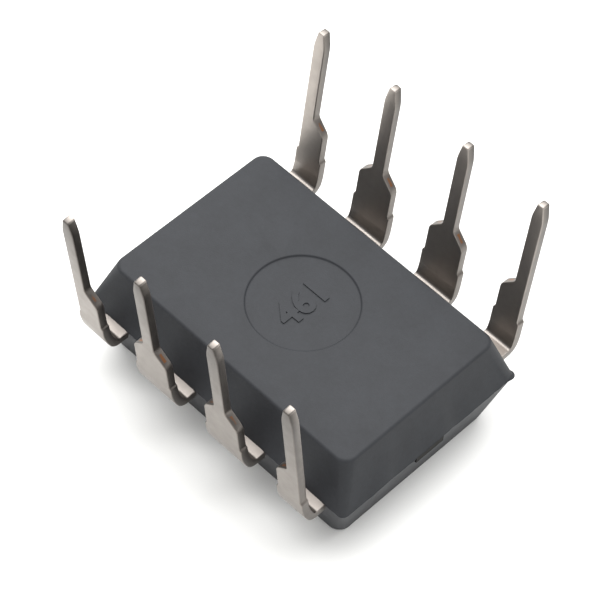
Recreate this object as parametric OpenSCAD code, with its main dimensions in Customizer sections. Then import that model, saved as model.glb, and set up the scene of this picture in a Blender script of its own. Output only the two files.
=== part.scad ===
// Eight-lead plastic dual in-line package, lying on its marking face with its leads up.
// Origin at the centre of the marking face. X runs along the rows of leads, Z towards
// the lead tips. Leads 1 to 4 are the row at +Y, leads 5 to 8 the row at -Y, and the
// half-round notch at -X marks the end that holds leads 1 and 8.

/* [Moulded body] */
// Length of the body at the parting line
body_l = 9.34; // [8.8:0.01:11.6]
// Width of the body at the parting line
body_w = 6.35; // [5.8:0.01:7.8]
// Thickness of the body
body_t = 3.3; // [3:0.01:4.2]
// Height of the parting line above the marking face
parting_h = 1.78; // [1.5:0.01:2.1]
// Distance that the mould's draft sets each flat face in from the parting line
draft_inset = 0.44; // [0.2:0.01:0.5]
// Radius of the upright corners at the flat faces
face_corner_r = 0.37; // [0.2:0.01:0.6]
// Radius of the upright corners at the parting line
parting_corner_r = 0.16; // [0.1:0.01:0.5]
// Radius of the edge around each flat face
face_edge_r = 0.1; // [0.05:0.01:0.18]

/* [Notch and ejector mark] */
// Radius of the half-round notch at the pin 1 end
notch_r = 0.75; // [0.4:0.01:1]
// Depth of the notch below the marking face
notch_depth = 0.5; // [0.2:0.01:0.8]
// Radius of the round ejector mark on the underside
mark_r = 1.5; // [0.8:0.01:2]
// Depth of the ejector mark
mark_depth = 0.05; // [0.02:0.01:0.15]

/* [Outer leads] */
// Spacing of the leads along a row
pitch = 2.54; // [2.3:0.01:2.6]
// Thickness of the sheet that the leads and the paddle are stamped from
lead_t = 0.25; // [0.2:0.01:0.36]
// Width of the narrow leg that goes into the board
pin_w = 0.38; // [0.3:0.01:0.56]
// Width of the broad upper part of a lead
shoulder_w = 1.18; // [1:0.01:1.5]
// Straight length between the body and the tight bend, leads 1 to 4
bend_gap_front = 0.42; // [0.1:0.005:0.6]
// Straight length between the body and the tight bend, leads 5 to 8
bend_gap_back = 0.275; // [0.1:0.005:0.6]
// Inside radius of the tight bend beside the body
bend_r = 0.13; // [0.1:0.01:0.4]
// Outward lean just past the tight bend of leads 1 to 4, in degrees
heel_lean_front = 16; // [16:0.1:45]
// Outward lean just past the tight bend of leads 5 to 8, in degrees
heel_lean_back = 30; // [16:0.1:45]
// Middle radius of the gentle bend that follows
heel_r = 2; // [1:0.01:2.5]
// Reach of the cut dam bar's stub on each side of a lead
stub_reach = 0.06; // [0:0.01:0.1]
// Height of the top of the stubs above the marking face
stub_top = 2.75; // [2.5:0.01:3]
// Outward lean of the legs of leads 1 to 4, in degrees
lean_front = 5; // [0:0.1:15]
// Outward lean of the legs of leads 5 to 8, in degrees
lean_back = 7; // [0:0.1:15]
// Height of the lead tips above the underside
tip_reach = 3.87; // [2.5:0.01:4.5]
// Height of the seating shoulders above the underside
shoulder_reach = 0.8; // [0.4:0.01:1.2]
// Height over which a shoulder slopes from the broad part to the narrow leg
shoulder_drop = 0.41; // [0.1:0.01:0.6]
// Length of the tapered lead point
point_l = 0.49; // [0.2:0.01:0.8]
// Width of the flat end of the point
point_w = 0.2; // [0.1:0.01:0.28]

/* [Lead frame inside the body] */
// Length of the paddle that carries the die
paddle_l = 3.4; // [2.6:0.01:4.2]
// Width of the paddle
paddle_w = 2.2; // [1.6:0.01:2.7]
// Distance that the paddle is set towards the underside
paddle_set = 0.2; // [0.05:0.01:0.4]
// Width of the tie bars that hold the paddle at both ends
tie_w = 1; // [0.4:0.01:1.2]
// Length of the sloping part of a tie bar
tie_slope_l = 0.4; // [0.2:0.01:0.6]
// Gap between a lead finger and the paddle or a tie bar
finger_gap = 0.25; // [0.15:0.01:0.4]
// Width of a lead finger at its tip
finger_w = 0.6; // [0.3:0.01:0.7]
// Length of the broad lead root inside the body
root_l = 0.55; // [0.3:0.01:0.9]
// Depth of the locking notches in the sides of a lead root
lock_depth = 0.14; // [0.05:0.01:0.18]

/* [Die and bond wires] */
// Length of the die
die_l = 1.6; // [1:0.01:2]
// Width of the die
die_w = 1.2; // [0.8:0.01:1.5]
// Thickness of the die
die_t = 0.25; // [0.15:0.01:0.4]
// Thickness of the die attach layer
attach_t = 0.03; // [0.02:0.01:0.08]
// Distance that the die attach spreads past the die
attach_rim = 0.08; // [0.02:0.01:0.15]
// Spacing of the two bond pads along a side of the die
pad_pitch = 0.7; // [0.4:0.01:0.8]
// Distance of the bond pads from the edge of the die
pad_inset = 0.12; // [0.08:0.01:0.2]
// Diameter of the gold bond wire
wire_d = 0.03; // [0.02:0.005:0.05]
// Height of the wire loop above the die
loop_h = 0.28; // [0.2:0.01:0.4]
// Radius of the wire at the two bends of its loop
loop_r = 0.12; // [0.06:0.01:0.15]
// Diameter of the ball and of the stitch at the ends of a wire
ball_d = 0.08; // [0.06:0.005:0.1]
// Distance of the stitch from the tip of its lead finger
stitch_inset = 0.15; // [0.1:0.01:0.25]

/* [Hidden] */

leads_in_row = 4;
lead_count = 2 * leads_in_row;
hull_fn = 32;
round_fn = 64;
wire_fn = 24;
parting_land = 0.02;          // height of the upright band along the parting line
ball_h = wire_d;              // height of the ball and of the stitch
tight_steps = 12;             // short flats that the tight bend is drawn with
gentle_steps = 8;             // short flats that the gentle bend is drawn with

sheet_top = parting_h;        // underside face of the lead sheet lies on the parting plane
sheet_low = sheet_top - lead_t;
tip_z = body_t + tip_reach;
shoulder_z = body_t + shoulder_reach;
bend_z = sheet_top + bend_r;
bend_mid_r = bend_r + lead_t / 2;

finger_tip_y = paddle_w / 2 + finger_gap;
finger_tip_x = paddle_l / 2 + finger_gap;
corner_finger_y = tie_w / 2 + finger_gap;
root_y = body_w / 2 - root_l;
corner_chamfer = finger_w / 2;

paddle_face_z = sheet_low + paddle_set;
attach_face_z = paddle_face_z - attach_t;
die_face_z = attach_face_z - die_t;

// Places of the leads: 1 to 4 along the +Y row, then 5 to 8 back along the -Y row
function row_side(n) = n <= leads_in_row ? 1 : -1;
function row_place(n) = n <= leads_in_row ? n : lead_count + 1 - n;
function lead_x(n) = (row_place(n) - (leads_in_row + 1) / 2) * pitch;
function end_side(n) = lead_x(n) > 0 ? 1 : -1;
function is_corner(n) = row_place(n) == 1 || row_place(n) == leads_in_row;

// Shape of a row's bends: its gap to the body, its lean past the tight bend and its lean
function shape_of(n) = row_side(n) > 0
    ? [bend_gap_front, heel_lean_front, lean_front]
    : [bend_gap_back, heel_lean_back, lean_back];

// Point on an arc in the side view, at an angle that counts from straight down
function on_arc(centre, r, angle) = centre + r * [sin(angle), -cos(angle)];

// One side of a lead in the side view, from the body's wall to the tip. The offset from
// the middle of the sheet is positive on the outer side of the bends.
function lead_edge(shape, offset) =
    let (
        tight = [body_w / 2 + shape[0], bend_z],
        turn = 90 - shape[1],
        gentle = on_arc(tight, bend_mid_r - heel_r, turn),
        sweep = shape[1] - shape[2],
        leg_start = on_arc(gentle, heel_r, turn + sweep),
        leg_l = (tip_z - leg_start[1]) / cos(shape[2]),
        edge_start = on_arc(gentle, heel_r + offset, turn + sweep)
    )
    concat(
        [[body_w / 2, bend_z - bend_mid_r - offset]],
        [for (i = [0:tight_steps])
            on_arc(tight, bend_mid_r + offset, turn * i / tight_steps)],
        [for (i = [1:gentle_steps])
            on_arc(gentle, heel_r + offset, turn + sweep * i / gentle_steps)],
        [edge_start + leg_l * [sin(shape[2]), cos(shape[2])]]);

// Ends of a bond wire in plan: its pad on the die and its stitch on the lead finger
function pad_of(n) = is_corner(n)
    ? [end_side(n) * (die_l / 2 - pad_inset), row_side(n) * pad_pitch / 2]
    : [end_side(n) * pad_pitch / 2, row_side(n) * (die_w / 2 - pad_inset)];
function stitch_of(n) = is_corner(n)
    ? [end_side(n) * (finger_tip_x + stitch_inset),
        row_side(n) * (corner_finger_y + finger_w / 2)]
    : [lead_x(n), row_side(n) * (finger_tip_y + stitch_inset)];

// Moulded body: two drafted halves that meet at the parting line
module corner_places(inset, r) {
    half_l = body_l / 2 - inset - r;
    half_w = body_w / 2 - inset - r;
    for (sx = [-1, 1], sy = [-1, 1])
        translate([sx * half_l, sy * half_w, 0]) children();
}

module face_corners(z) {
    translate([0, 0, z])
        corner_places(draft_inset, face_corner_r)
            rotate_extrude($fn = hull_fn)
                translate([face_corner_r - face_edge_r, 0])
                    circle(r = face_edge_r, $fn = hull_fn);
}

module parting_corners() {
    translate([0, 0, parting_h - parting_land / 2])
        corner_places(0, parting_corner_r)
            cylinder(r = parting_corner_r, h = parting_land, $fn = hull_fn);
}

module body_form() {
    hull() {
        face_corners(face_edge_r);
        parting_corners();
        face_corners(body_t - face_edge_r);
    }
}

module pin_1_notch() {
    translate([draft_inset - body_l / 2, 0, -1])
        cylinder(r = notch_r, h = notch_depth + 1, $fn = round_fn);
}

module ejector_mark() {
    translate([0, 0, body_t - mark_depth])
        cylinder(r = mark_r, h = mark_depth + 1, $fn = round_fn);
}

module moulded_body() {
    color("#454648")
        difference() {
            body_form();
            pin_1_notch();
            ejector_mark();
            for (n = [1:lead_count]) {
                lead_form(n);
                bond_wire_form(n);
            }
            die_paddle_form();
            die_attach_form();
            die_form();
        }
}

// Finger of an inner lead, which runs straight to the long side of the paddle
module inner_finger() {
    broad = shoulder_w / 2;
    tip = finger_w / 2;
    half = [[tip, finger_tip_y], [tip, root_y - broad + tip], [broad, root_y],
        [broad, root_y + lock_depth], [broad - lock_depth, root_y + lock_depth],
        [broad - lock_depth, root_y + 2 * lock_depth], [broad, root_y + 2 * lock_depth],
        [broad, body_w / 2]];
    other_half = [for (i = [len(half) - 1:-1:0]) [-half[i][0], half[i][1]]];
    polygon(concat(half, other_half));
}

// Finger of a corner lead, which turns along the body to the end of the paddle.
// Its broad side faces the middle of the row, at +X here.
module corner_finger() {
    outer = -pin_w / 2;
    broad = shoulder_w / 2;
    reach = leads_in_row / 2 * pitch - pitch / 2 - finger_tip_x;
    near_y = corner_finger_y;
    far_y = corner_finger_y + finger_w;
    polygon([[outer, body_w / 2], [outer, near_y + corner_chamfer],
        [outer + corner_chamfer, near_y], [reach, near_y], [reach, far_y],
        [broad - lock_depth, far_y], [broad - lock_depth, root_y], [broad, root_y],
        [broad, body_w / 2]]);
}

// Front view of a lead outside the body: the dam bar's stubs, the broad part down to its
// shoulders, the narrow leg and its point
module lead_front(corner) {
    broad = shoulder_w / 2;
    narrow = pin_w / 2;
    point = point_w / 2;
    stub_z = stub_top - stub_reach;
    point_z = tip_z - point_l;
    above = tip_z + lead_t;
    half = [[broad + stub_reach, 0], [broad + stub_reach, stub_z], [broad, stub_top],
        [broad, shoulder_z - shoulder_drop], [narrow, shoulder_z], [narrow, point_z],
        [point, tip_z], [point, above]];
    straight_half = [[-point, above], [-point, tip_z], [-narrow, point_z],
        [-narrow, stub_top], [-narrow - stub_reach, stub_z], [-narrow - stub_reach, 0]];
    broad_half = [for (i = [len(half) - 1:-1:0]) [-half[i][0], half[i][1]]];
    polygon(concat(half, corner ? straight_half : broad_half));
}

// Side view of a lead outside the body
module lead_side(shape) {
    outer = lead_edge(shape, lead_t / 2);
    inner = lead_edge(shape, -lead_t / 2);
    polygon(concat(outer, [for (i = [len(inner) - 1:-1:0]) inner[i]]));
}

// One lead in the +Y row, with its broad side at +X if it is a corner lead
module lead_blank(corner, shape) {
    translate([0, 0, sheet_low])
        linear_extrude(lead_t) {
            if (corner) corner_finger();
            else inner_finger();
        }
    intersection() {
        translate([-pitch / 2, 0, 0])
            rotate([90, 0, 90])
                linear_extrude(pitch) lead_side(shape);
        translate([0, body_w, 0])
            rotate([90, 0, 0])
                linear_extrude(body_w) lead_front(corner);
    }
}

module lead_form(n) {
    turn_x = is_corner(n) && end_side(n) > 0 ? 1 : 0;
    turn_y = row_side(n) < 0 ? 1 : 0;
    translate([lead_x(n), 0, 0])
        mirror([turn_x, 0, 0])
            mirror([0, turn_y, 0])
                lead_blank(is_corner(n), shape_of(n));
}

module lead(n) {
    color("#a9a19b") lead_form(n);
}

// Paddle with its two tie bars, which end flush with the parting line
module die_paddle_form() {
    flat = paddle_l / 2;
    slope_end = flat + tie_slope_l;
    bar_end = body_l / 2;
    top = [[-bar_end, 0], [-slope_end, 0], [-flat, paddle_set], [flat, paddle_set],
        [slope_end, 0], [bar_end, 0]];
    low = [for (i = [len(top) - 1:-1:0]) top[i] - [0, lead_t]];
    intersection() {
        translate([0, body_w / 2, sheet_top])
            rotate([90, 0, 0])
                linear_extrude(body_w) polygon(concat(top, low));
        linear_extrude(body_t) {
            square([paddle_l, paddle_w], center = true);
            square([body_l, tie_w], center = true);
        }
    }
}

module die_paddle() {
    color("#b98a5c") die_paddle_form();
}

// Silver-filled epoxy under the die
module die_attach_form() {
    translate([0, 0, attach_face_z + attach_t / 2])
        cube([die_l + 2 * attach_rim, die_w + 2 * attach_rim, attach_t], center = true);
}

module die_attach() {
    color("#c9c9c4") die_attach_form();
}

module die_form() {
    translate([0, 0, die_face_z + die_t / 2])
        cube([die_l, die_w, die_t], center = true);
}

module die() {
    color("#5d6470") die_form();
}

// Gold wire: up from its ball on the die, across, and down to its stitch on the lead.
// It is drawn with its loop upwards and turned over, as the die faces the floor.
module wire_bend() {
    rotate([90, 0, 0])
        rotate_extrude(angle = 90, $fn = round_fn)
            translate([loop_r, 0])
                circle(d = wire_d, $fn = wire_fn);
}

module bond_wire_form(n) {
    pad = pad_of(n);
    run = stitch_of(n) - pad;
    span = norm(run);
    rise = loop_h - loop_r;
    finger_drop = sheet_low - die_face_z;
    translate([pad[0], pad[1], die_face_z])
        rotate([0, 0, atan2(run[1], run[0])])
            mirror([0, 0, 1]) {
                cylinder(d = ball_d, h = ball_h, $fn = wire_fn);
                cylinder(d = wire_d, h = rise, $fn = wire_fn);
                translate([loop_r, 0, rise])
                    mirror([1, 0, 0]) wire_bend();
                translate([loop_r, 0, loop_h])
                    rotate([0, 90, 0])
                        cylinder(d = wire_d, h = span - 2 * loop_r, $fn = wire_fn);
                translate([span - loop_r, 0, rise]) wire_bend();
                translate([span, 0, -finger_drop]) {
                    cylinder(d = wire_d, h = rise + finger_drop, $fn = wire_fn);
                    cylinder(d = ball_d, h = ball_h, $fn = wire_fn);
                }
            }
}

module bond_wire(n) {
    color("#d9b24a") bond_wire_form(n);
}

moulded_body();
for (n = [1:lead_count]) {
    lead(n);
    bond_wire(n);
}
die_paddle();
die_attach();
die();
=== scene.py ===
"""Looks for an eight-lead plastic dual in-line package lying on its marking face.

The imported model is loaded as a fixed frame. The moulded body and the eight leads are
modelled again with their small detail, and the pieces sealed inside keep their CAD form
and get a material. Pieces are modelled in millimetres and set down in metres.
"""

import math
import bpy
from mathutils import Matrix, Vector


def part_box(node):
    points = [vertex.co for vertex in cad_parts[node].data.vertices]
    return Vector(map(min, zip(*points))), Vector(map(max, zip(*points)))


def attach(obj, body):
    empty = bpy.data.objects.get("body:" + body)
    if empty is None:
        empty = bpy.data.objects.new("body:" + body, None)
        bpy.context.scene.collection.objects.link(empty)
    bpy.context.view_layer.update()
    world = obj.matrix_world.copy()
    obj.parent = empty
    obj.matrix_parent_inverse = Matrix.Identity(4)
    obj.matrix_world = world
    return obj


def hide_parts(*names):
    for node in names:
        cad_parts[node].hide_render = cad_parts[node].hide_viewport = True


bl_info = {
    "name": "Eight-lead dual in-line package",
    "version": (1, 0, 0),
    "blender": (4, 5, 0),
    "location": "View3D > Sidebar > Package",
    "description": "Builds the moulded body, the leads, the sealed parts and the stage",
    "category": "Object",
}

from types import SimpleNamespace

import bmesh
import bpy
from bpy.props import FloatProperty, FloatVectorProperty, PointerProperty, StringProperty
from mathutils import Matrix, Vector, noise

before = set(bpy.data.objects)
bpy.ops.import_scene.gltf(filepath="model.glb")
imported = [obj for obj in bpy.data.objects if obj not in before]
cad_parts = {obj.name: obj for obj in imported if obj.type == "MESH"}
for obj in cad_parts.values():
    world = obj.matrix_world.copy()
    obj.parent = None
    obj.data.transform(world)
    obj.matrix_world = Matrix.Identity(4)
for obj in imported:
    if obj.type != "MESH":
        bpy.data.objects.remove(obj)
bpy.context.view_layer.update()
body_low, body_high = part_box("moulded_body")
lead_low, lead_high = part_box("lead_2")
next_low, next_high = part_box("lead_3")

MM = 0.001
SHEET = 0.25
LEADS_IN_ROW = 4
LEAD_COUNT = 2 * LEADS_IN_ROW
SHARP_ANGLE = math.radians(40)
# Points nearer than this, in mm, count as the same
CLOSE = 1e-4


def linear(colour):
    """Turns an sRGB hex colour into the linear values that Blender works with."""
    channels = [int(colour[i:i + 2], 16) / 255 for i in (1, 3, 5)]
    return [c / 12.92 if c <= 0.04045 else ((c + 0.055) / 1.055) ** 2.4 for c in channels]


def length(name, about, metres):
    """A size property, which Blender shows in the scene's units."""
    return FloatProperty(
        name=name, description=about, default=metres, min=0, unit="LENGTH", precision=6)


def colour(name, about, hex_value):
    """A colour property with an sRGB hex default."""
    return FloatVectorProperty(
        name=name, description=about, default=linear(hex_value), size=3, min=0, max=1,
        subtype="COLOR")


class BodySizes(bpy.types.PropertyGroup):
    """Sizes of the moulded body."""

    length: length("Length", "Length at the parting line", body_high.x - body_low.x)
    width: length("Width", "Width at the parting line", body_high.y - body_low.y)
    height: length("Height", "Thickness of the body", body_high.z - body_low.z)
    parting: length("Parting", "Height of the parting line", lead_low.z + SHEET * MM)
    draft: length("Draft", "Distance the flat faces are set in by the draft", 0.44 * MM)
    face_corner: length("Face corner", "Upright corner radius at a flat face", 0.37 * MM)
    line_corner: length("Line corner", "Upright corner radius at the parting line", 0.16 * MM)
    edge: length("Edge", "Radius of the edge around a flat face", 0.1 * MM)
    flash: length("Flash", "Reach of the thin flash along the parting line", 0.03 * MM)
    flash_t: length("Flash thickness", "Thickness of the flash at its foot", 0.03 * MM)
    nub: length("Nub", "Reach of the flash left on one corner", 0.06 * MM)
    notch_r: length("Notch radius", "Radius of the half-round notch", 0.75 * MM)
    notch_depth: length("Notch depth", "Depth of the notch", 0.5 * MM)
    mark_r: length("Mark radius", "Radius of the ejector mark", 1.5 * MM)
    mark_depth: length("Mark depth", "Depth of the ejector mark", 0.05 * MM)
    number: StringProperty(
        name="Cavity number", description="Plain raised number in the ejector mark",
        default="461")
    number_size: length("Number size", "Height of the raised number", 1.05 * MM)
    number_bold: length("Number boldness", "Extra width of each stroke side", 0.035 * MM)
    number_rise: length("Number rise", "Height the number stands proud", 0.03 * MM)


class LeadSizes(bpy.types.PropertyGroup):
    """Sizes of the eight leads."""

    pitch: length("Pitch", "Spacing along a row", next_low.x - lead_low.x)
    sheet: length("Sheet", "Thickness of the sheet", SHEET * MM)
    stub: length("Stub", "Reach of the cut dam bar's stub on each side", 0.06 * MM)
    stub_top: length("Stub top", "Height of the top of the stubs", 2.75 * MM)
    broad: length("Broad width", "Width of the upper part", lead_high.x - lead_low.x - 0.12 * MM)
    leg: length("Leg width", "Width of the narrow leg", 0.38 * MM)
    tip_z: length("Tip height", "Height of the tips above the floor", lead_high.z)
    gap_front: length("Gap, leads 1 to 4", "Straight length before the bend", 0.42 * MM)
    gap_back: length("Gap, leads 5 to 8", "Straight length before the bend", 0.275 * MM)
    bend: length("Bend", "Inside radius of the tight bend", 0.13 * MM)
    heel: length("Heel", "Middle radius of the gentle bend", 2 * MM)
    heel_lean_front: FloatProperty(
        name="Heel lean, leads 1 to 4", description="Outward lean just past the tight bend",
        default=math.radians(16), unit="ROTATION")
    heel_lean_back: FloatProperty(
        name="Heel lean, leads 5 to 8", description="Outward lean just past the tight bend",
        default=math.radians(30), unit="ROTATION")
    shoulder: length("Shoulder", "Height of the shoulders above the underside", 0.8 * MM)
    slope: length("Shoulder slope", "Height the shoulder slopes over", 0.41 * MM)
    point: length("Point", "Length of the tapered point", 0.49 * MM)
    point_w: length("Point width", "Width of the flat end of the point", 0.2 * MM)
    edge: length("Edge", "Radius of the plated edges", 0.035 * MM)
    lean_front: FloatProperty(
        name="Lean, leads 1 to 4", description="Outward lean of the +Y row",
        default=math.radians(5), unit="ROTATION")
    lean_back: FloatProperty(
        name="Lean, leads 5 to 8", description="Outward lean of the -Y row",
        default=math.radians(7), unit="ROTATION")


class FrameSizes(bpy.types.PropertyGroup):
    """Sizes of the parts of the lead frame that the moulding hides."""

    paddle_l: length("Paddle length", "Length of the paddle", 3.4 * MM)
    paddle_w: length("Paddle width", "Width of the paddle", 2.2 * MM)
    tie_w: length("Tie bar width", "Width of the tie bars", 1.0 * MM)
    gap: length("Gap", "Gap between a finger and the paddle", 0.25 * MM)
    finger_w: length("Finger width", "Width of a finger at its tip", 0.6 * MM)
    root_l: length("Root length", "Length of the broad root in the body", 0.55 * MM)
    lock: length("Lock depth", "Depth of the locking notches", 0.14 * MM)


class Finish(bpy.types.PropertyGroup):
    """Colours of the finishes."""

    epoxy: colour("Epoxy", "Colour of the moulding", "#232529")
    tin: colour("Tin", "Colour of the plating", "#a39c96")
    copper: colour("Copper", "Colour of the bare copper alloy", "#80593f")
    # Near black, painted shade on the tie bars' ends
    snapped: colour("Snapped ends", "Colour of the tie bars' snapped ends", "#2c2b2a")
    paste: colour("Die attach", "Colour of the silver-filled epoxy", "#c4c3bd")
    silicon: colour("Silicon", "Colour of the die", "#5a626e")
    gold: colour("Gold", "Colour of the bond wire", "#e0b45a")
    floor: colour("Floor", "Colour of the paper floor", "#f4f4f2")


class StageSettings(bpy.types.PropertyGroup):
    """Camera and light."""

    distance: length("Distance", "Distance of the camera from its aim", 71.78 * MM)
    lens: FloatProperty(
        name="Lens", description="Focal length", default=168.6, unit="CAMERA")
    azimuth: FloatProperty(
        name="Azimuth", description="Turn of the camera round the part",
        default=math.radians(41.76), unit="ROTATION")
    elevation: FloatProperty(
        name="Elevation", description="Height of the camera above the floor",
        default=math.radians(54.26), unit="ROTATION")
    roll: FloatProperty(
        name="Roll", description="Tilt of the camera about its own axis",
        default=math.radians(4.08), unit="ROTATION")
    aim: FloatVectorProperty(
        name="Aim", description="Point the camera and the softbox look at", size=3,
        default=(-0.01 * MM, -0.1 * MM, 3.55 * MM), unit="LENGTH", precision=6)
    floor_r: length("Floor", "Radius of the paper floor", 1500 * MM)
    softbox: length("Softbox", "Width of the overhead softbox", 400 * MM)
    softbox_distance: length("Softbox distance", "Distance from the aim", 250 * MM)
    softbox_azimuth: FloatProperty(
        name="Softbox azimuth", description="Turn of the softbox round the part",
        default=math.radians(221.76), unit="ROTATION")
    softbox_elevation: FloatProperty(
        name="Softbox elevation", description="Height of the softbox above the floor",
        default=math.radians(62), unit="ROTATION")
    softbox_power: FloatProperty(
        name="Softbox power", description="Power of the softbox in watts", default=1.52)
    surround: FloatProperty(
        name="Surround", description="Brightness of the studio round the part", default=0.88)


class PackageSettings(bpy.types.PropertyGroup):
    """All the settings of the package."""

    body: PointerProperty(type=BodySizes)
    leads: PointerProperty(type=LeadSizes)
    inside: PointerProperty(type=FrameSizes)
    finish: PointerProperty(type=Finish)
    stage: PointerProperty(type=StageSettings)


def in_mm(group):
    """The values of a settings group, with each length in millimetres."""
    values = {}
    for name in group.__annotations__:
        value = getattr(group, name)
        is_length = group.bl_rna.properties[name].unit == "LENGTH"
        values[name] = value / MM if is_length else value
    return SimpleNamespace(**values)


# Materials

def add_node(tree, kind, inputs=None, **settings):
    """Adds a node, sets it, and gives each named input its value or link."""
    made = tree.nodes.new(kind)
    for name, value in settings.items():
        setattr(made, name, value)
    for name, value in (inputs or {}).items():
        if isinstance(value, bpy.types.NodeSocket):
            tree.links.new(value, made.inputs[name])
        else:
            made.inputs[name].default_value = value
    return made


def new_material(name, shader_inputs):
    """A material with one Principled shader, and the Object coordinates in millimetres."""
    material = bpy.data.materials.new(name)
    material.use_nodes = True
    tree = material.node_tree
    tree.nodes.clear()
    coordinates = add_node(tree, "ShaderNodeTexCoord")
    millimetres = add_node(
        tree, "ShaderNodeVectorMath", {0: coordinates.outputs["Object"], 1: (1 / MM,) * 3},
        operation="MULTIPLY")
    shader = add_node(tree, "ShaderNodeBsdfPrincipled", shader_inputs)
    add_node(tree, "ShaderNodeOutputMaterial", {"Surface": shader.outputs["BSDF"]})
    return material, tree, shader, millimetres.outputs["Vector"]


def tinted(value, factor):
    """A linear colour made lighter or darker."""
    return [channel * factor for channel in value] + [1]


def matte_moulded_epoxy(finish):
    """Filled epoxy moulded against spark-eroded steel.

    The eroded cavity leaves a fine even grain that breaks up every reflection, so the
    faces look dull dark grey, with faint cloudy patches where the filler lies thicker.
    """
    material, tree, shader, place = new_material(
        "matte_moulded_epoxy", {"Roughness": 0.62, "IOR": 1.42})
    clouds = add_node(tree, "ShaderNodeTexNoise", {
        "Vector": place, "Scale": 1 / 0.9, "Detail": 3, "Roughness": 0.6})
    specks = add_node(tree, "ShaderNodeTexNoise", {
        "Vector": place, "Scale": 1 / 0.12, "Detail": 2, "Roughness": 0.7})
    blend = add_node(tree, "ShaderNodeMix", {
        0: 0.4, 2: clouds.outputs["Fac"], 3: specks.outputs["Fac"]}, data_type="FLOAT")
    shade = add_node(tree, "ShaderNodeValToRGB", {"Fac": blend.outputs[0]})
    shade.color_ramp.elements[0].position = 0.35
    shade.color_ramp.elements[0].color = tinted(finish.epoxy, 0.85)
    shade.color_ramp.elements[1].position = 0.65
    shade.color_ramp.elements[1].color = tinted(finish.epoxy, 1.15)
    # The eroded grain is about 0.02 mm across, drawn at 0.05 mm so that it shows
    grain = add_node(tree, "ShaderNodeTexNoise", {
        "Vector": place, "Scale": 1 / 0.05, "Detail": 3, "Roughness": 0.65})
    relief = add_node(tree, "ShaderNodeBump", {
        "Height": grain.outputs["Fac"], "Strength": 0.35, "Distance": 0.01 * MM})
    tree.links.new(shade.outputs["Color"], shader.inputs["Base Color"])
    tree.links.new(relief.outputs["Normal"], shader.inputs["Normal"])
    return material


def satin_tin_plate(finish):
    """Matte tin electroplated on copper alloy sheet, then bent and cut.

    The fine-grained plating blurs reflections to a satin sheen with faint clouds. The
    cut sides, but not the ends, are darkened as painted shade, the outer faces get painted
    shade that deepens towards the tips, and small spots on the shoulders show the warm alloy.
    """
    material, tree, shader, place = new_material("satin_tin_plate", {"Metallic": 1})
    clouds = add_node(tree, "ShaderNodeTexNoise", {
        "Vector": place, "Scale": 1 / 0.35, "Detail": 3, "Roughness": 0.6})
    shade = add_node(tree, "ShaderNodeValToRGB", {"Fac": clouds.outputs["Fac"]})
    shade.color_ramp.elements[0].position = 0.3
    shade.color_ramp.elements[0].color = tinted(finish.tin, 0.95)
    shade.color_ramp.elements[1].position = 0.7
    shade.color_ramp.elements[1].color = tinted(finish.tin, 1.05)
    dullness = add_node(tree, "ShaderNodeMapRange", {
        "Value": clouds.outputs["Fac"], "From Min": 0.3, "From Max": 0.7, "To Min": 0.43,
        "To Max": 0.37})
    # Tin grains are about 0.005 mm, drawn at 0.03 mm so that they show
    grain = add_node(tree, "ShaderNodeTexNoise", {
        "Vector": place, "Scale": 1 / 0.03, "Detail": 2, "Roughness": 0.6})
    relief = add_node(tree, "ShaderNodeBump", {
        "Height": grain.outputs["Fac"], "Strength": 0.2, "Distance": 0.004 * MM})
    # Painted shade: the cut sides are darkened to 0.4 of the plating colour, and the outer faces
    # down to 0.3 at the tips
    side_shade_factor, tip_shade_factor = 0.4, 0.3
    painted_side_shade = add_node(tree, "ShaderNodeAttribute", attribute_name="painted_side_shade")
    painted_tip_shade = add_node(tree, "ShaderNodeAttribute", attribute_name="painted_tip_shade")
    # thin darkens the cut sides and dull darkens the outer faces, both as painted shade
    thin = add_node(tree, "ShaderNodeMapRange", {
        "Value": painted_side_shade.outputs["Fac"], "To Min": 1, "To Max": side_shade_factor})
    dull = add_node(tree, "ShaderNodeMapRange", {
        "Value": painted_tip_shade.outputs["Fac"], "To Min": 1, "To Max": tip_shade_factor})
    # The two painted shades multiplied together
    painted_shade = add_node(tree, "ShaderNodeMath", {
        0: thin.outputs["Result"], 1: dull.outputs["Result"]}, operation="MULTIPLY")
    plated = add_node(tree, "ShaderNodeVectorMath", {
        0: shade.outputs["Color"], "Scale": painted_shade.outputs["Value"]}, operation="SCALE")
    bare = add_node(tree, "ShaderNodeAttribute", attribute_name="bare_metal")
    ragged = add_node(tree, "ShaderNodeMath", {
        0: bare.outputs["Fac"], 1: clouds.outputs["Fac"]}, operation="MULTIPLY")
    shown = add_node(tree, "ShaderNodeMapRange", {
        "Value": ragged.outputs["Value"], "From Min": 0.35, "From Max": 0.55})
    surface = add_node(tree, "ShaderNodeMix", {
        0: shown.outputs["Result"], 6: plated.outputs["Vector"],
        7: tinted(finish.copper, 1)}, data_type="RGBA")
    tree.links.new(surface.outputs[2], shader.inputs["Base Color"])
    tree.links.new(dullness.outputs["Result"], shader.inputs["Roughness"])
    tree.links.new(relief.outputs["Normal"], shader.inputs["Normal"])
    return material


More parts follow.
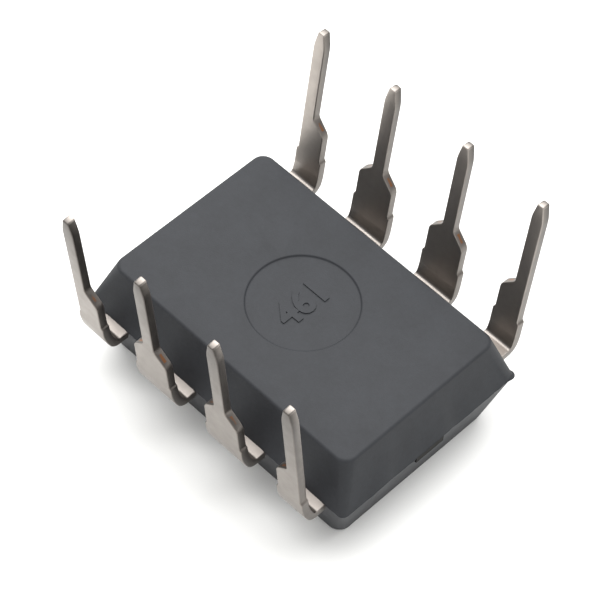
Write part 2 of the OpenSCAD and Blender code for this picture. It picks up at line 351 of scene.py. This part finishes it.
def rolled_copper_alloy(finish):
    """Bare copper alloy strip, cold rolled and stamped.

    Rolling leaves faint lines along the strip, and heat from moulding browns it a little
    in patches. The ends of the tie bars, snapped at the body's wall, are rougher and are
    painted near black as painted shade.
    """
    material, tree, shader, place = new_material("rolled_copper_alloy", {"Metallic": 1})
    # Rolling lines lie about 0.05 mm apart and run on for millimetres along the strip
    along = add_node(tree, "ShaderNodeMapping", {
        "Vector": place, "Scale": (1 / 2, 1 / 0.05, 1 / 0.05)})
    lines = add_node(tree, "ShaderNodeTexNoise", {
        "Vector": along.outputs["Vector"], "Scale": 1, "Detail": 2})
    clouds = add_node(tree, "ShaderNodeTexNoise", {
        "Vector": place, "Scale": 1 / 0.8, "Detail": 3})
    mixed = add_node(tree, "ShaderNodeMix", {
        0: 0.5, 2: lines.outputs["Fac"], 3: clouds.outputs["Fac"]}, data_type="FLOAT")
    shade = add_node(tree, "ShaderNodeValToRGB", {"Fac": mixed.outputs[0]})
    shade.color_ramp.elements[0].position = 0.35
    shade.color_ramp.elements[0].color = tinted(finish.copper, 0.75)
    shade.color_ramp.elements[1].position = 0.65
    shade.color_ramp.elements[1].color = tinted(finish.copper, 1.15)
    # Painted shade: the tie bars' ends at the body's walls are painted near black, and made
    # rougher
    parts = add_node(tree, "ShaderNodeSeparateXYZ", {"Vector": place})
    reach = add_node(tree, "ShaderNodeMath", {0: parts.outputs["X"]}, operation="ABSOLUTE")
    wall = body_high.x / MM
    snapped = add_node(tree, "ShaderNodeMapRange", {
        "Value": reach.outputs["Value"], "From Min": wall - 0.15, "From Max": wall - 0.05})
    surface = add_node(tree, "ShaderNodeMix", {
        0: snapped.outputs["Result"], 6: shade.outputs["Color"],
        7: tinted(finish.snapped, 1)}, data_type="RGBA")
    dullness = add_node(tree, "ShaderNodeMapRange", {
        "Value": snapped.outputs["Result"], "To Min": 0.35, "To Max": 0.7})
    tree.links.new(surface.outputs[2], shader.inputs["Base Color"])
    tree.links.new(dullness.outputs["Result"], shader.inputs["Roughness"])
    return material


def silver_filled_epoxy(finish):
    """Dispensed die attach paste, cured.

    Flakes of silver in the resin give a pale dull grey with tiny glints.
    """
    material, tree, shader, place = new_material(
        "silver_filled_epoxy", {"Metallic": 0.6, "Roughness": 0.5})
    # Flakes are about 0.01 mm, drawn at 0.02 mm so that they show
    flakes = add_node(tree, "ShaderNodeTexVoronoi", {"Vector": place, "Scale": 1 / 0.02})
    shade = add_node(tree, "ShaderNodeValToRGB", {"Fac": flakes.outputs["Distance"]})
    shade.color_ramp.elements[0].color = tinted(finish.paste, 1.1)
    shade.color_ramp.elements[1].color = tinted(finish.paste, 0.7)
    tree.links.new(shade.outputs["Color"], shader.inputs["Base Color"])
    return material


def polished_silicon(finish):
    """Silicon die, polished and covered in fine circuit blocks.

    The mirror face shows a faint patchwork of slightly different greys and blues.
    """
    material, tree, shader, place = new_material(
        "polished_silicon", {"Metallic": 0.2, "Roughness": 0.12, "IOR": 3.5})
    # Circuit blocks are about 0.1 mm across
    blocks = add_node(tree, "ShaderNodeTexVoronoi", {
        "Vector": place, "Scale": 1 / 0.1, "Randomness": 0.6}, distance="CHEBYCHEV")
    tone = add_node(tree, "ShaderNodeSeparateColor", {"Color": blocks.outputs["Color"]})
    shade = add_node(tree, "ShaderNodeValToRGB", {"Fac": tone.outputs["Red"]})
    shade.color_ramp.elements[0].color = tinted(finish.silicon, 0.6)
    shade.color_ramp.elements[1].color = tinted(finish.silicon, 1.3)
    tree.links.new(shade.outputs["Color"], shader.inputs["Base Color"])
    return material


def drawn_gold_wire(finish):
    """Gold wire drawn through a die.

    Drawing leaves it bright and smooth, with slight dull spots.
    """
    material, tree, shader, place = new_material("drawn_gold_wire", {"Metallic": 1})
    spots = add_node(tree, "ShaderNodeTexNoise", {"Vector": place, "Scale": 1 / 0.05})
    shade = add_node(tree, "ShaderNodeValToRGB", {"Fac": spots.outputs["Fac"]})
    shade.color_ramp.elements[0].color = tinted(finish.gold, 0.85)
    shade.color_ramp.elements[1].color = tinted(finish.gold, 1.05)
    dullness = add_node(tree, "ShaderNodeMapRange", {
        "Value": spots.outputs["Fac"], "To Min": 0.15, "To Max": 0.3})
    tree.links.new(shade.outputs["Color"], shader.inputs["Base Color"])
    tree.links.new(dullness.outputs["Result"], shader.inputs["Roughness"])
    return material


def matt_paper(finish):
    """White backing paper, matt coated, with a barely visible fibre mottle."""
    material, tree, shader, place = new_material("matt_paper", {"Roughness": 0.9})
    fibres = add_node(tree, "ShaderNodeTexNoise", {
        "Vector": place, "Scale": 1 / 0.5, "Detail": 4})
    shade = add_node(tree, "ShaderNodeValToRGB", {"Fac": fibres.outputs["Fac"]})
    shade.color_ramp.elements[0].color = tinted(finish.floor, 0.99)
    shade.color_ramp.elements[1].color = tinted(finish.floor, 1)
    tree.links.new(shade.outputs["Color"], shader.inputs["Base Color"])
    return material


# Shaping

def everything(bm):
    return bm.verts[:] + bm.edges[:] + bm.faces[:]


def bevel(bm, geometry, offset, segments, affect):
    """The bevel operator with its settings given in full."""
    return bmesh.ops.bevel(
        bm, geom=geometry, offset=offset, offset_type="OFFSET", segments=segments,
        profile=0.5, affect=affect, material=-1, clamp_overlap=True)


def as_object(bm, name):
    """Turns a mesh in millimetres into an object in metres, smooth up to its sharp edges."""
    bmesh.ops.recalc_face_normals(bm, faces=bm.faces)
    bmesh.ops.scale(bm, vec=(MM,) * 3, verts=bm.verts)
    mesh = bpy.data.meshes.new(name)
    bm.to_mesh(mesh)
    bm.free()
    mesh.shade_smooth()
    mesh.set_sharp_from_angle(angle=SHARP_ANGLE)
    made = bpy.data.objects.new(name, mesh)
    bpy.context.scene.collection.objects.link(made)
    return made


def even_normals(piece):
    """Flat faces shade flat beside their rounded edges."""
    weighted = piece.modifiers.new("even_normals", "WEIGHTED_NORMAL")
    weighted.keep_sharp = True
    weighted.weight = 100


def rounded_plate(bm, half_l, half_w, radius, z, cuts_l, cuts_w):
    """A flat rounded rectangle at height z, with its straight edges cut up evenly."""
    before = set(bm.faces)
    corners = bmesh.ops.create_grid(bm, x_segments=1, y_segments=1, size=1)["verts"]
    bmesh.ops.scale(bm, vec=(half_l, half_w, 1), verts=corners)
    bmesh.ops.translate(bm, vec=(0, 0, z), verts=corners)
    bevel(bm, corners, radius, 8, "VERTICES")
    plate = next(face for face in bm.faces if face not in before)
    straight = [edge for edge in plate.edges if edge.calc_length() > radius]
    along_x = [e for e in straight if abs(e.verts[0].co.y - e.verts[1].co.y) < CLOSE]
    along_y = [e for e in straight if e not in along_x]
    bmesh.ops.bisect_edges(bm, edges=along_x, cuts=cuts_l)
    bmesh.ops.bisect_edges(bm, edges=along_y, cuts=cuts_w)
    return plate


def ragged_flash(verts, body):
    """Gives the flash along the parting line its uneven reach and its nub."""
    # The reach wanders over about 0.6 mm, with finer teeth about 0.17 mm apart
    slow_wave, fine_wave, nub_spread = 1.7, 6, 0.2
    straight_l = body.length / 2 - body.line_corner
    straight_w = body.width / 2 - body.line_corner
    nub_place = Vector((body.length / 2, body.width / 2, body.parting))
    for vert in verts:
        heart = Vector((
            max(-straight_l, min(straight_l, vert.co.x)),
            max(-straight_w, min(straight_w, vert.co.y)), vert.co.z))
        outward = (vert.co - heart).normalized()
        slow, fine = noise.noise(vert.co * slow_wave), noise.noise(vert.co * fine_wave)
        uneven = 0.5 + 0.5 * slow + 0.4 * fine
        nearness = math.exp(-((vert.co - nub_place).length / nub_spread) ** 2)
        vert.co += outward * (body.flash * (uneven - 1) + body.nub * nearness)


def body_shell(body):
    """The two drafted halves, closed, with rounded face edges and the parting flash."""
    bm = bmesh.new()
    middle = body.parting
    cuts = (60, 40)
    half_l, half_w = body.length / 2, body.width / 2
    face = (half_l - body.draft, half_w - body.draft, body.face_corner)
    line = (half_l, half_w, body.line_corner)
    fin = (half_l + body.flash, half_w + body.flash, body.line_corner + body.flash)
    levels = [
        (face, 0), (line, middle - body.flash_t / 2), (fin, middle),
        (line, middle + body.flash_t / 2), (face, body.height)]
    plates = [rounded_plate(bm, *outline, z, *cuts) for outline, z in levels]
    rings = [list(plate.edges) for plate in plates]
    ragged_flash(list(plates[2].verts), body)
    bmesh.ops.delete(bm, geom=plates[1:4], context="FACES_ONLY")
    for lower, upper in zip(rings, rings[1:]):
        bmesh.ops.bridge_loops(bm, edges=lower + upper)
    bmesh.ops.recalc_face_normals(bm, faces=bm.faces)
    slope = math.atan2(middle, body.draft)
    set_back = body.edge * math.tan(slope / 2)
    bevel(bm, rings[0] + rings[4], set_back, 4, "EDGES")
    return bm


def sink_ejector_mark(bm, body):
    """Opens the underside and closes it again with the round recess spun into it."""
    top = max(bm.faces, key=lambda face: (face.normal.z > 0.99) * face.calc_area())
    rim = list(top.edges)
    bmesh.ops.delete(bm, geom=[top], context="FACES_ONLY")
    # Each point of the wall: reach from the rim in lips, and share of the depth
    lip = 0.045
    wall = [(1, 0), (0.5, 0.1), (0.1, 0.4), (-0.1, 0.7), (-0.4, 0.92), (-1, 1)]
    profile = [(body.mark_r + lip * out, body.mark_depth * down) for out, down in wall]
    profile += [(body.mark_r / 2, body.mark_depth), (0, body.mark_depth)]
    points = [bm.verts.new((r, 0, body.height - down)) for r, down in profile]
    edges = [bm.edges.new(pair) for pair in zip(points, points[1:])]
    bmesh.ops.spin(
        bm, geom=points + edges, cent=(0, 0, 0), axis=(0, 0, 1), angle=math.tau, steps=128,
        use_merge=True)
    bmesh.ops.remove_doubles(bm, verts=bm.verts, dist=CLOSE)
    hole = [
        e for e in bm.edges
        if e.is_boundary and all(v.co.xy.length < body.mark_r + 2 * lip for v in e.verts)]
    bmesh.ops.triangle_fill(bm, edges=rim + hole, use_beauty=True, normal=(0, 0, 1))


def notch_cutter(body):
    """A drum that cuts the half-round notch at the pin 1 end."""
    bm = bmesh.new()
    bmesh.ops.create_cone(
        bm, cap_ends=True, segments=64, radius1=body.notch_r, radius2=body.notch_r,
        depth=2 * body.notch_depth)
    bmesh.ops.translate(bm, vec=(body.draft - body.length / 2, 0, 0), verts=bm.verts)
    return as_object(bm, "notch_cutter")


def raised_number(body):
    """The cavity number as a closed mesh that stands on the floor of the ejector mark."""
    text = bpy.data.curves.new("cavity_number", "FONT")
    text.body = body.number
    text.size = body.number_size * MM
    text.align_x = "CENTER"
    text.align_y = "CENTER"
    text.extrude = body.number_rise * MM
    text.offset = body.number_bold * MM
    text.resolution_u = 4
    letters = bpy.data.objects.new("cavity_number", text)
    bpy.context.scene.collection.objects.link(letters)
    bpy.context.view_layer.update()
    bm = bmesh.new()
    bm.from_mesh(bpy.data.meshes.new_from_object(letters.evaluated_get(
        bpy.context.evaluated_depsgraph_get())))
    bpy.data.objects.remove(letters)
    bmesh.ops.scale(bm, vec=(1 / MM,) * 3, verts=bm.verts)
    bmesh.ops.remove_doubles(bm, verts=bm.verts, dist=CLOSE)
    upright = Matrix.Translation((0, 0, body.height - body.mark_depth)) @ Matrix.Rotation(
        math.pi / 2, 4, "Z")
    bmesh.ops.transform(bm, matrix=upright, verts=bm.verts)
    return as_object(bm, "cavity_number")


def combine(piece, other, operation):
    """Cuts or joins the other mesh into the piece, and removes the other.

    The manifold solver is used, as the exact one collapses the body at the raised number.
    """
    step = piece.modifiers.new(operation.lower(), "BOOLEAN")
    step.operation = operation
    step.solver = "MANIFOLD"
    step.object = other
    bpy.context.view_layer.update()
    shaped = bpy.data.meshes.new_from_object(piece.evaluated_get(
        bpy.context.evaluated_depsgraph_get()))
    shaped.name = piece.name
    piece.modifiers.clear()
    piece.data = shaped
    bpy.data.objects.remove(other)
    if len(shaped.polygons) == 0:
        raise RuntimeError(f"{piece.name}: the {operation.lower()} left nothing")


def lead_row(number):
    """Side of the body, place in the row from 0, and whether it stands at a corner."""
    side = 1 if number <= LEADS_IN_ROW else -1
    place = number - 1 if side > 0 else LEAD_COUNT - number
    return side, place, place in (0, LEADS_IN_ROW - 1)


def lead_outline(lead, inside, body, corner, bend_end, leg_at):
    """Outline of the flat blank as points and their corner radii, +X half first."""
    broad, leg, point = lead.broad / 2, lead.leg / 2, lead.point_w / 2
    shoulder_z = body.height + lead.shoulder
    low = bend_end + leg_at(shoulder_z - lead.slope)
    high = bend_end + leg_at(shoulder_z)
    end = bend_end + leg_at(lead.tip_z)
    root = body.width / 2 - inside.root_l
    wall, stub = body.width / 2, lead.stub
    stub_end = bend_end + leg_at(lead.stub_top - stub)
    nick_r, slope_r, waist_r, tip_r = 0.03, 0.12, 0.08, 0.05
    outer_half = [
        (broad, wall, 0), (broad + stub, wall, 0), (broad + stub, stub_end, nick_r),
        (broad, stub_end + stub, nick_r), (broad, low, slope_r), (leg, high, waist_r),
        (leg, end - lead.point, slope_r), (point, end, tip_r)]
    if corner:
        near = inside.tie_w / 2 + inside.gap
        far = near + inside.finger_w
        reach = (LEADS_IN_ROW - 1) / 2 * lead.pitch - inside.paddle_l / 2 - inside.gap
        start = [
            (-leg, near + inside.finger_w / 2, 0), (inside.finger_w / 2 - leg, near, 0),
            (reach, near, 0), (reach, far, 0), (broad - inside.lock, far, 0),
            (broad - inside.lock, root, 0), (broad, root, 0)]
        back = [
            (-point, end, tip_r), (-leg, end - lead.point, slope_r),
            (-leg, stub_end + stub, nick_r), (-leg - stub, stub_end, nick_r),
            (-leg - stub, wall, 0), (-leg, wall, 0)]
        return start + outer_half + back
    tip, tip_y = inside.finger_w / 2, inside.paddle_w / 2 + inside.gap
    notch = broad - inside.lock
    inner_half = [
        (tip, tip_y, 0), (tip, root - broad + tip, 0), (broad, root, 0),
        (broad, root + inside.lock, 0), (notch, root + inside.lock, 0),
        (notch, root + 2 * inside.lock, 0), (broad, root + 2 * inside.lock, 0)]
    half = inner_half + outer_half
    return half + [(-u, v, radius) for u, v, radius in reversed(half)]


def mark_bare_metal(bm, low, end, sheet):
    """Marks a small core of each shoulder face, which the shear left without tin."""
    # Shoulder faces look towards the tip and are big enough to take an inset
    least_area, rim = 0.2 * sheet * sheet, 0.3 * sheet
    layer = bm.verts.layers.float.new("bare_metal")
    shoulders = []
    for face in bm.faces:
        centre = face.calc_center_median()
        upright = abs(face.normal.z) < 0.1 and face.calc_area() > least_area
        if upright and face.normal.y > 0.4 and low < centre.y < end - sheet:
            shoulders.append(face)
    bmesh.ops.inset_individual(bm, faces=shoulders, thickness=rim, use_even_offset=True)
    for face in shoulders:
        for vert in face.verts:
            vert[layer] = 1


def mark_painted_shade(bm, lead, low, end):
    """Marks where shade is painted: on the cut sides, and on the outer face, deeper towards the
    tip.
    """
    painted_side_shade = bm.verts.layers.float.new("painted_side_shade")
    painted_tip_shade = bm.verts.layers.float.new("painted_tip_shade")
    for vert in bm.verts:
        inset = (lead.sheet / 2 - abs(vert.co.z)) / lead.edge
        # Painted shade on the cut sides, not on the end faces
        vert[painted_side_shade] = max(0, min(1, inset)) * (vert.co.y < end - lead.edge)
        height = max(0, min(1, (vert.co.y - low) / (end - low)))
        # Painted shade on the outer face, deeper towards the tip
        vert[painted_tip_shade] = (vert.co.z < 0) * (0.3 + 0.7 * height)


def bend_plan(lead, body, side):
    """Centres, radii and sweeps of the two bends of a row, and where they start."""
    if side > 0:
        gap, heel_lean, lean = lead.gap_front, lead.heel_lean_front, lead.lean_front
    else:
        gap, heel_lean, lean = lead.gap_back, lead.heel_lean_back, lead.lean_back
    tight_r = lead.bend + lead.sheet / 2
    turn = math.pi / 2 - heel_lean
    start = body.width / 2 + gap
    tight = Vector((start, body.parting + lead.bend))
    heel = tight - (lead.heel - tight_r) * Vector((math.sin(turn), -math.cos(turn)))
    heel_start = start + tight_r * turn
    sweep = heel_lean - lean
    return SimpleNamespace(
        tight=tight, tight_r=tight_r, turn=turn, start=start, heel=heel, sweep=sweep,
        heel_start=heel_start, end=heel_start + lead.heel * sweep, lean=lean,
        heel_r=lead.heel)


def bend_blank(bm, lead, body, plan):
    """Bends the flat blank up beside the body."""
    sheet_mid = body.parting - lead.sheet / 2
    for vert in bm.verts:
        along = vert.co.y
        rise = vert.co.z
        if along <= plan.start:
            vert.co.z = sheet_mid + rise
            continue
        if along <= plan.heel_start:
            centre, radius = plan.tight, plan.tight_r - rise
            swept = (along - plan.start) / plan.tight_r
        else:
            centre, radius = plan.heel, plan.heel_r - rise
            swept = plan.turn + min(plan.sweep, (along - plan.heel_start) / plan.heel_r)
        past = max(0, along - plan.end)
        vert.co.y = centre.x + radius * math.sin(swept) + past * math.sin(plan.lean)
        vert.co.z = centre.y - radius * math.cos(swept) + past * math.cos(plan.lean)


def lead_blank(lead, inside, body, corner, plan):
    """One finished lead, bent towards +Y and centred on its leg."""
    def leg_at(z):
        foot = plan.heel.y - lead.heel * math.sin(plan.lean)
        return (z - foot) / math.cos(plan.lean)

    bm = bmesh.new()
    outline = lead_outline(lead, inside, body, corner, plan.end, leg_at)
    verts = [bm.verts.new((u, v, -lead.sheet / 2)) for u, v, _ in outline]
    bm.faces.new(verts)
    rounding = {vert: radius for vert, (_, _, radius) in zip(verts, outline) if radius}
    for radius in sorted(set(rounding.values())):
        bevel(bm, [v for v in rounding if rounding[v] == radius], radius, 5, "VERTICES")
    grown = bmesh.ops.extrude_face_region(bm, geom=bm.faces[:])
    lifted = [item for item in grown["geom"] if isinstance(item, bmesh.types.BMVert)]
    bmesh.ops.translate(bm, vec=(0, 0, lead.sheet), verts=lifted)
    bmesh.ops.recalc_face_normals(bm, faces=bm.faces)
    edges = [
        e for e in bm.edges
        if abs(e.verts[0].co.z - e.verts[1].co.z) < CLOSE and e.calc_face_angle(0) > 1]
    bevel(bm, edges, lead.edge, 3, "EDGES")
    low = plan.end + leg_at(body.height + lead.shoulder - lead.slope)
    end = plan.end + leg_at(lead.tip_z)
    mark_bare_metal(bm, low, end, lead.sheet)
    tight_cuts, heel_cuts = 10, 12
    stations = [
        plan.start + (plan.heel_start - plan.start) * step / tight_cuts
        for step in range(tight_cuts)]
    stations += [
        plan.heel_start + (plan.end - plan.heel_start) * step / heel_cuts
        for step in range(heel_cuts + 1)]
    stations += [low + (end - lead.point - low) * step / 4 for step in range(1, 5)]
    for station in stations:
        bmesh.ops.bisect_plane(
            bm, geom=everything(bm), dist=1e-5, plane_co=(0, station, 0),
            plane_no=(0, 1, 0))
    mark_painted_shade(bm, lead, low, end)
    bend_blank(bm, lead, body, plan)
    return bm


# Operators

class PACKAGE_OT_moulded_body(bpy.types.Operator):
    """Model the moulded body with its flash, notch and ejector mark."""

    bl_idname = "package.moulded_body"
    bl_label = "Moulded body"

    def execute(self, context):
        settings = context.scene.package
        body = in_mm(settings.body)
        bm = body_shell(body)
        sink_ejector_mark(bm, body)
        piece = as_object(bm, "epoxy_body")
        combine(piece, notch_cutter(body), "DIFFERENCE")
        combine(piece, raised_number(body), "UNION")
        piece.data.shade_smooth()
        piece.data.set_sharp_from_angle(angle=SHARP_ANGLE)
        piece.data.materials.clear()
        piece.data.materials.append(matte_moulded_epoxy(settings.finish))
        even_normals(piece)
        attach(piece, "root")
        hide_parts("moulded_body")
        return {"FINISHED"}


class PACKAGE_OT_leads(bpy.types.Operator):
    """Stamp, round and bend the eight leads."""

    bl_idname = "package.leads"
    bl_label = "Leads"

    def execute(self, context):
        settings = context.scene.package
        body, lead, inside = (
            in_mm(group) for group in (settings.body, settings.leads, settings.inside))
        plating = satin_tin_plate(settings.finish)
        for number in range(1, LEAD_COUNT + 1):
            side, place, corner = lead_row(number)
            bm = lead_blank(lead, inside, body, corner, bend_plan(lead, body, side))
            mirror_x = -1 if corner and place > 0 else 1
            bmesh.ops.scale(bm, vec=(mirror_x, side, 1), verts=bm.verts)
            row_x = (place - (LEADS_IN_ROW - 1) / 2) * lead.pitch
            bmesh.ops.translate(bm, vec=(row_x, 0, 0), verts=bm.verts)
            piece = as_object(bm, f"plated_lead_{number}")
            piece.data.materials.append(plating)
            even_normals(piece)
            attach(piece, "root")
            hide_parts(f"lead_{number}")
        return {"FINISHED"}


def finish_node(name, material):
    """Gives a CAD node its material and leaves its mesh as it is."""
    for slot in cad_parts[name].material_slots:
        slot.link = "OBJECT"
        slot.material = material


class PACKAGE_OT_die_paddle(bpy.types.Operator):
    """Finish the paddle and its tie bars."""

    bl_idname = "package.die_paddle"
    bl_label = "Die paddle"

    def execute(self, context):
        finish_node("die_paddle", rolled_copper_alloy(context.scene.package.finish))
        return {"FINISHED"}


class PACKAGE_OT_die(bpy.types.Operator):
    """Finish the die and the paste that holds it."""

    bl_idname = "package.die"
    bl_label = "Die and die attach"

    def execute(self, context):
        finish = context.scene.package.finish
        finish_node("die_attach", silver_filled_epoxy(finish))
        finish_node("die", polished_silicon(finish))
        return {"FINISHED"}


class PACKAGE_OT_bond_wires(bpy.types.Operator):
    """Finish the eight bond wires."""

    bl_idname = "package.bond_wires"
    bl_label = "Bond wires"

    def execute(self, context):
        gold = drawn_gold_wire(context.scene.package.finish)
        for number in range(1, LEAD_COUNT + 1):
            finish_node(f"bond_wire_{number}", gold)
        return {"FINISHED"}


def looking_at(aim, azimuth, elevation, distance, roll=0):
    """Placement of something that looks at a point from a direction and a distance."""
    turned = Matrix.Rotation(azimuth, 4, "Z") @ Matrix.Rotation(
        math.pi / 2 - elevation, 4, "X") @ Matrix.Rotation(roll, 4, "Z")
    return Matrix.Translation(aim) @ turned @ Matrix.Translation((0, 0, distance))


class PACKAGE_OT_stage(bpy.types.Operator):
    """Set the floor, the soft light and the camera."""

    bl_idname = "package.stage"
    bl_label = "Stage"

    def execute(self, context):
        settings = context.scene.package
        stage = settings.stage
        aim = Vector(stage.aim)
        bm = bmesh.new()
        bmesh.ops.create_circle(
            bm, cap_ends=True, segments=96, radius=stage.floor_r / MM)
        floor = as_object(bm, "paper_floor")
        floor.data.materials.append(matt_paper(settings.finish))

        light = bpy.data.lights.new("softbox", "AREA")
        light.shape = "SQUARE"
        light.size = stage.softbox
        light.energy = stage.softbox_power
        lamp = bpy.data.objects.new("softbox", light)
        lamp.matrix_world = looking_at(
            aim, stage.softbox_azimuth, stage.softbox_elevation, stage.softbox_distance)
        context.scene.collection.objects.link(lamp)

        world = bpy.data.worlds.new("studio")
        world.use_nodes = True
        world.node_tree.nodes["Background"].inputs["Strength"].default_value = stage.surround
        world.node_tree.nodes["Background"].inputs["Color"].default_value = (1, 1, 1, 1)
        context.scene.world = world

        camera = bpy.data.cameras.new("camera")
        camera.sensor_width = 36
        camera.lens = stage.lens
        camera.clip_start = MM
        camera.clip_end = 10
        view = bpy.data.objects.new("camera", camera)
        view.matrix_world = looking_at(
            aim, stage.azimuth, stage.elevation, stage.distance, stage.roll)
        context.scene.collection.objects.link(view)
        context.scene.camera = view
        context.scene.view_settings.view_transform = "Standard"
        return {"FINISHED"}


BUILD_STEPS = (
    PACKAGE_OT_moulded_body, PACKAGE_OT_leads, PACKAGE_OT_die_paddle, PACKAGE_OT_die,
    PACKAGE_OT_bond_wires, PACKAGE_OT_stage)


class PACKAGE_PT_panel(bpy.types.Panel):
    """Lists the steps that build the package, with their settings."""

    bl_idname = "PACKAGE_PT_panel"
    bl_label = "Package"
    bl_space_type = "VIEW_3D"
    bl_region_type = "UI"
    bl_category = "Package"

    def draw(self, context):
        for step in BUILD_STEPS:
            self.layout.operator(step.bl_idname)
        settings = context.scene.package
        for group in (settings.body, settings.leads, settings.inside, settings.finish,
                      settings.stage):
            box = self.layout.box()
            for name in group.__annotations__:
                box.prop(group, name)


CLASSES = (
    BodySizes, LeadSizes, FrameSizes, Finish, StageSettings, PackageSettings, *BUILD_STEPS,
    PACKAGE_PT_panel)


def register():
    for each in CLASSES:
        bpy.utils.register_class(each)
    bpy.types.Scene.package = PointerProperty(type=PackageSettings)


def unregister():
    del bpy.types.Scene.package
    for each in reversed(CLASSES):
        bpy.utils.unregister_class(each)


def main():
    register()
    bpy.ops.package.moulded_body()
    bpy.ops.package.leads()
    bpy.ops.package.die_paddle()
    bpy.ops.package.die()
    bpy.ops.package.bond_wires()
    bpy.ops.package.stage()


if __name__ == "__main__":
    main()
